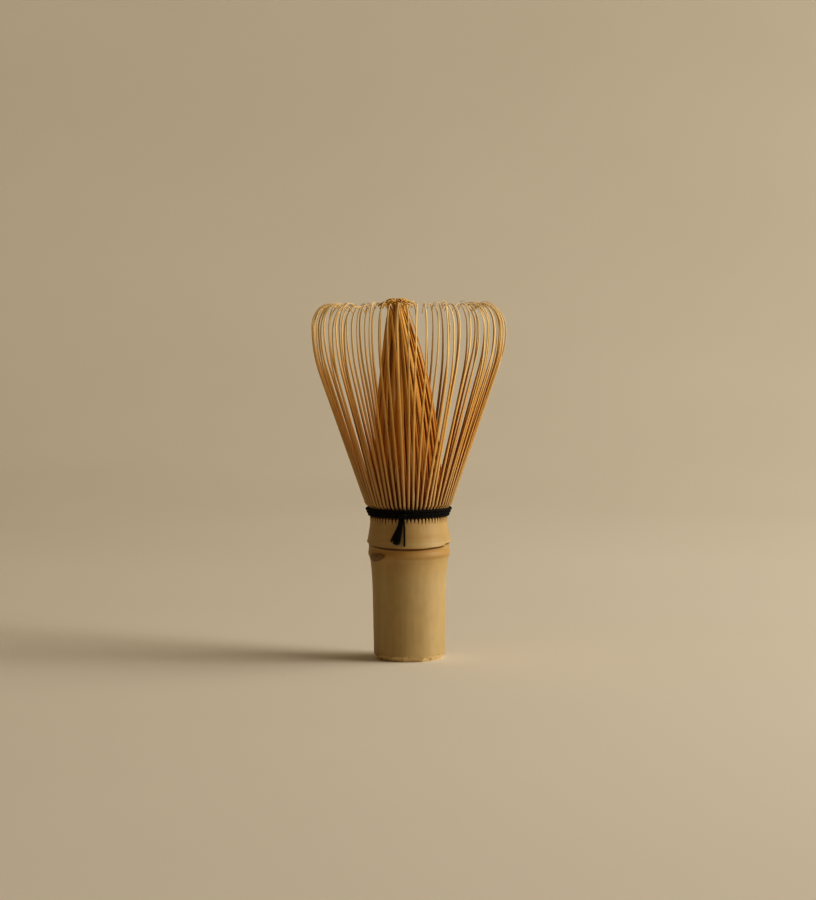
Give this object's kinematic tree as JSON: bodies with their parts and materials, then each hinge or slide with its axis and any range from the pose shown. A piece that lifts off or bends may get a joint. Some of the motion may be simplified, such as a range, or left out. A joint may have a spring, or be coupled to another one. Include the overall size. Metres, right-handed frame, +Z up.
{
  "type": "bamboo tea whisk",
  "caption": "Bamboo tea whisk: one culm with a node, split into a ring of hooked outer tines round a gathered inner bunch, bound with black thread.",
  "frame": {"origin": "centre of the handle's foot, on the culm's axis", "axes": "+Z up along the culm towards the tines; -Y is the front, where the thread is knotted; +X to the right seen from the front"},
  "size_m": [0.0622, 0.0622, 0.1152],
  "materials": {
    "culm_bamboo": "satin",
    "pith_bamboo": "matte",
    "split_bamboo": "matte",
    "tine_bamboo": "satin",
    "inner_bamboo": "matte",
    "black_thread": "matte"
  },
  "bodies": {
    "handle_body": {"handle": "culm_bamboo", "node_septum": "pith_bamboo", "tine_collar": "split_bamboo", "thread_weave_inner": "black_thread", "thread_turn_lower": "black_thread", "thread_turn_middle": "black_thread", "thread_turn_upper": "black_thread", "thread_knot": "black_thread", "thread_tail_frayed": "black_thread", "thread_tail_single": "black_thread"},
    "outer_tines_01": {"outer_tines_01": "tine_bamboo"},
    "outer_tines_02": {"outer_tines_02": "tine_bamboo"},
    "outer_tines_03": {"outer_tines_03": "tine_bamboo"},
    "outer_tines_04": {"outer_tines_04": "tine_bamboo"},
    "outer_tines_05": {"outer_tines_05": "tine_bamboo"},
    "outer_tines_06": {"outer_tines_06": "tine_bamboo"},
    "outer_tines_07": {"outer_tines_07": "tine_bamboo"},
    "outer_tines_08": {"outer_tines_08": "tine_bamboo"},
    "outer_tines_09": {"outer_tines_09": "tine_bamboo"},
    "outer_tines_10": {"outer_tines_10": "tine_bamboo"},
    "outer_tines_11": {"outer_tines_11": "tine_bamboo"},
    "outer_tines_12": {"outer_tines_12": "tine_bamboo"},
    "outer_tines_13": {"outer_tines_13": "tine_bamboo"},
    "outer_tines_14": {"outer_tines_14": "tine_bamboo"},
    "outer_tines_15": {"outer_tines_15": "tine_bamboo"},
    "outer_tines_16": {"outer_tines_16": "tine_bamboo"},
    "inner_tines_01": {"inner_tines_01": "inner_bamboo"},
    "inner_tines_02": {"inner_tines_02": "inner_bamboo"},
    "inner_tines_03": {"inner_tines_03": "inner_bamboo"},
    "inner_tines_04": {"inner_tines_04": "inner_bamboo"},
    "inner_tines_05": {"inner_tines_05": "inner_bamboo"},
    "inner_tines_06": {"inner_tines_06": "inner_bamboo"},
    "inner_tines_07": {"inner_tines_07": "inner_bamboo"},
    "inner_tines_08": {"inner_tines_08": "inner_bamboo"}
  },
  "joints": [
    {"name": "outer_flex_01", "type": "hinge", "parent": "handle_body", "child": "outer_tines_01", "pos_m": [0.01335, 0.00198, 0.04945], "axis": [-0.1467, 0.9892, 0], "range_deg": [-3.5, 8], "stiffness_Nm_per_rad": 0.012},
    {"name": "outer_flex_02", "type": "hinge", "parent": "handle_body", "child": "outer_tines_02", "pos_m": [0.01158, 0.00694, 0.04945], "axis": [-0.5141, 0.8577, 0], "range_deg": [-3.5, 8], "stiffness_Nm_per_rad": 0.012},
    {"name": "outer_flex_03", "type": "hinge", "parent": "handle_body", "child": "outer_tines_03", "pos_m": [0.00804, 0.01084, 0.04945], "axis": [-0.8032, 0.5957, 0], "range_deg": [-3.5, 8], "stiffness_Nm_per_rad": 0.012},
    {"name": "outer_flex_04", "type": "hinge", "parent": "handle_body", "child": "outer_tines_04", "pos_m": [0.00328, 0.0131, 0.04945], "axis": [-0.97, 0.243, 0], "range_deg": [-3.5, 8], "stiffness_Nm_per_rad": 0.012},
    {"name": "outer_flex_05", "type": "hinge", "parent": "handle_body", "child": "outer_tines_05", "pos_m": [-0.00198, 0.01335, 0.04945], "axis": [-0.9892, -0.1467, 0], "range_deg": [-3.5, 8], "stiffness_Nm_per_rad": 0.012},
    {"name": "outer_flex_06", "type": "hinge", "parent": "handle_body", "child": "outer_tines_06", "pos_m": [-0.00694, 0.01158, 0.04945], "axis": [-0.8577, -0.5141, 0], "range_deg": [-3.5, 8], "stiffness_Nm_per_rad": 0.012},
    {"name": "outer_flex_07", "type": "hinge", "parent": "handle_body", "child": "outer_tines_07", "pos_m": [-0.01084, 0.00804, 0.04945], "axis": [-0.5957, -0.8032, 0], "range_deg": [-3.5, 8], "stiffness_Nm_per_rad": 0.012},
    {"name": "outer_flex_08", "type": "hinge", "parent": "handle_body", "child": "outer_tines_08", "pos_m": [-0.0131, 0.00328, 0.04945], "axis": [-0.243, -0.97, 0], "range_deg": [-3.5, 8], "stiffness_Nm_per_rad": 0.012},
    {"name": "outer_flex_09", "type": "hinge", "parent": "handle_body", "child": "outer_tines_09", "pos_m": [-0.01335, -0.00198, 0.04945], "axis": [0.1467, -0.9892, 0], "range_deg": [-3.5, 8], "stiffness_Nm_per_rad": 0.012},
    {"name": "outer_flex_10", "type": "hinge", "parent": "handle_body", "child": "outer_tines_10", "pos_m": [-0.01158, -0.00694, 0.04945], "axis": [0.5141, -0.8577, 0], "range_deg": [-3.5, 8], "stiffness_Nm_per_rad": 0.012},
    {"name": "outer_flex_11", "type": "hinge", "parent": "handle_body", "child": "outer_tines_11", "pos_m": [-0.00804, -0.01084, 0.04945], "axis": [0.8032, -0.5957, 0], "range_deg": [-3.5, 8], "stiffness_Nm_per_rad": 0.012},
    {"name": "outer_flex_12", "type": "hinge", "parent": "handle_body", "child": "outer_tines_12", "pos_m": [-0.00328, -0.0131, 0.04945], "axis": [0.97, -0.243, 0], "range_deg": [-3.5, 8], "stiffness_Nm_per_rad": 0.012},
    {"name": "outer_flex_13", "type": "hinge", "parent": "handle_body", "child": "outer_tines_13", "pos_m": [0.00198, -0.01335, 0.04945], "axis": [0.9892, 0.1467, 0], "range_deg": [-3.5, 8], "stiffness_Nm_per_rad": 0.012},
    {"name": "outer_flex_14", "type": "hinge", "parent": "handle_body", "child": "outer_tines_14", "pos_m": [0.00694, -0.01158, 0.04945], "axis": [0.8577, 0.5141, 0], "range_deg": [-3.5, 8], "stiffness_Nm_per_rad": 0.012},
    {"name": "outer_flex_15", "type": "hinge", "parent": "handle_body", "child": "outer_tines_15", "pos_m": [0.01084, -0.00804, 0.04945], "axis": [0.5957, 0.8032, 0], "range_deg": [-3.5, 8], "stiffness_Nm_per_rad": 0.012},
    {"name": "outer_flex_16", "type": "hinge", "parent": "handle_body", "child": "outer_tines_16", "pos_m": [0.0131, -0.00328, 0.04945], "axis": [0.243, 0.97, 0], "range_deg": [-3.5, 8], "stiffness_Nm_per_rad": 0.012},
    {"name": "inner_flex_01", "type": "hinge", "parent": "handle_body", "child": "inner_tines_01", "pos_m": [0.00947, 0.00392, 0.04945], "axis": [-0.3827, 0.9239, 0], "range_deg": [0, 5], "stiffness_Nm_per_rad": 0.005},
    {"name": "inner_flex_02", "type": "hinge", "parent": "handle_body", "child": "inner_tines_02", "pos_m": [0.00392, 0.00947, 0.04945], "axis": [-0.9239, 0.3827, 0], "range_deg": [0, 5], "stiffness_Nm_per_rad": 0.005},
    {"name": "inner_flex_03", "type": "hinge", "parent": "handle_body", "child": "inner_tines_03", "pos_m": [-0.00392, 0.00947, 0.04945], "axis": [-0.9239, -0.3827, 0], "range_deg": [0, 5], "stiffness_Nm_per_rad": 0.005},
    {"name": "inner_flex_04", "type": "hinge", "parent": "handle_body", "child": "inner_tines_04", "pos_m": [-0.00947, 0.00392, 0.04945], "axis": [-0.3827, -0.9239, 0], "range_deg": [0, 5], "stiffness_Nm_per_rad": 0.005},
    {"name": "inner_flex_05", "type": "hinge", "parent": "handle_body", "child": "inner_tines_05", "pos_m": [-0.00947, -0.00392, 0.04945], "axis": [0.3827, -0.9239, 0], "range_deg": [0, 5], "stiffness_Nm_per_rad": 0.005},
    {"name": "inner_flex_06", "type": "hinge", "parent": "handle_body", "child": "inner_tines_06", "pos_m": [-0.00392, -0.00947, 0.04945], "axis": [0.9239, -0.3827, 0], "range_deg": [0, 5], "stiffness_Nm_per_rad": 0.005},
    {"name": "inner_flex_07", "type": "hinge", "parent": "handle_body", "child": "inner_tines_07", "pos_m": [0.00392, -0.00947, 0.04945], "axis": [0.9239, 0.3827, 0], "range_deg": [0, 5], "stiffness_Nm_per_rad": 0.005},
    {"name": "inner_flex_08", "type": "hinge", "parent": "handle_body", "child": "inner_tines_08", "pos_m": [0.00947, -0.00392, 0.04945], "axis": [0.3827, 0.9239, 0], "range_deg": [0, 5], "stiffness_Nm_per_rad": 0.005}
  ]
}
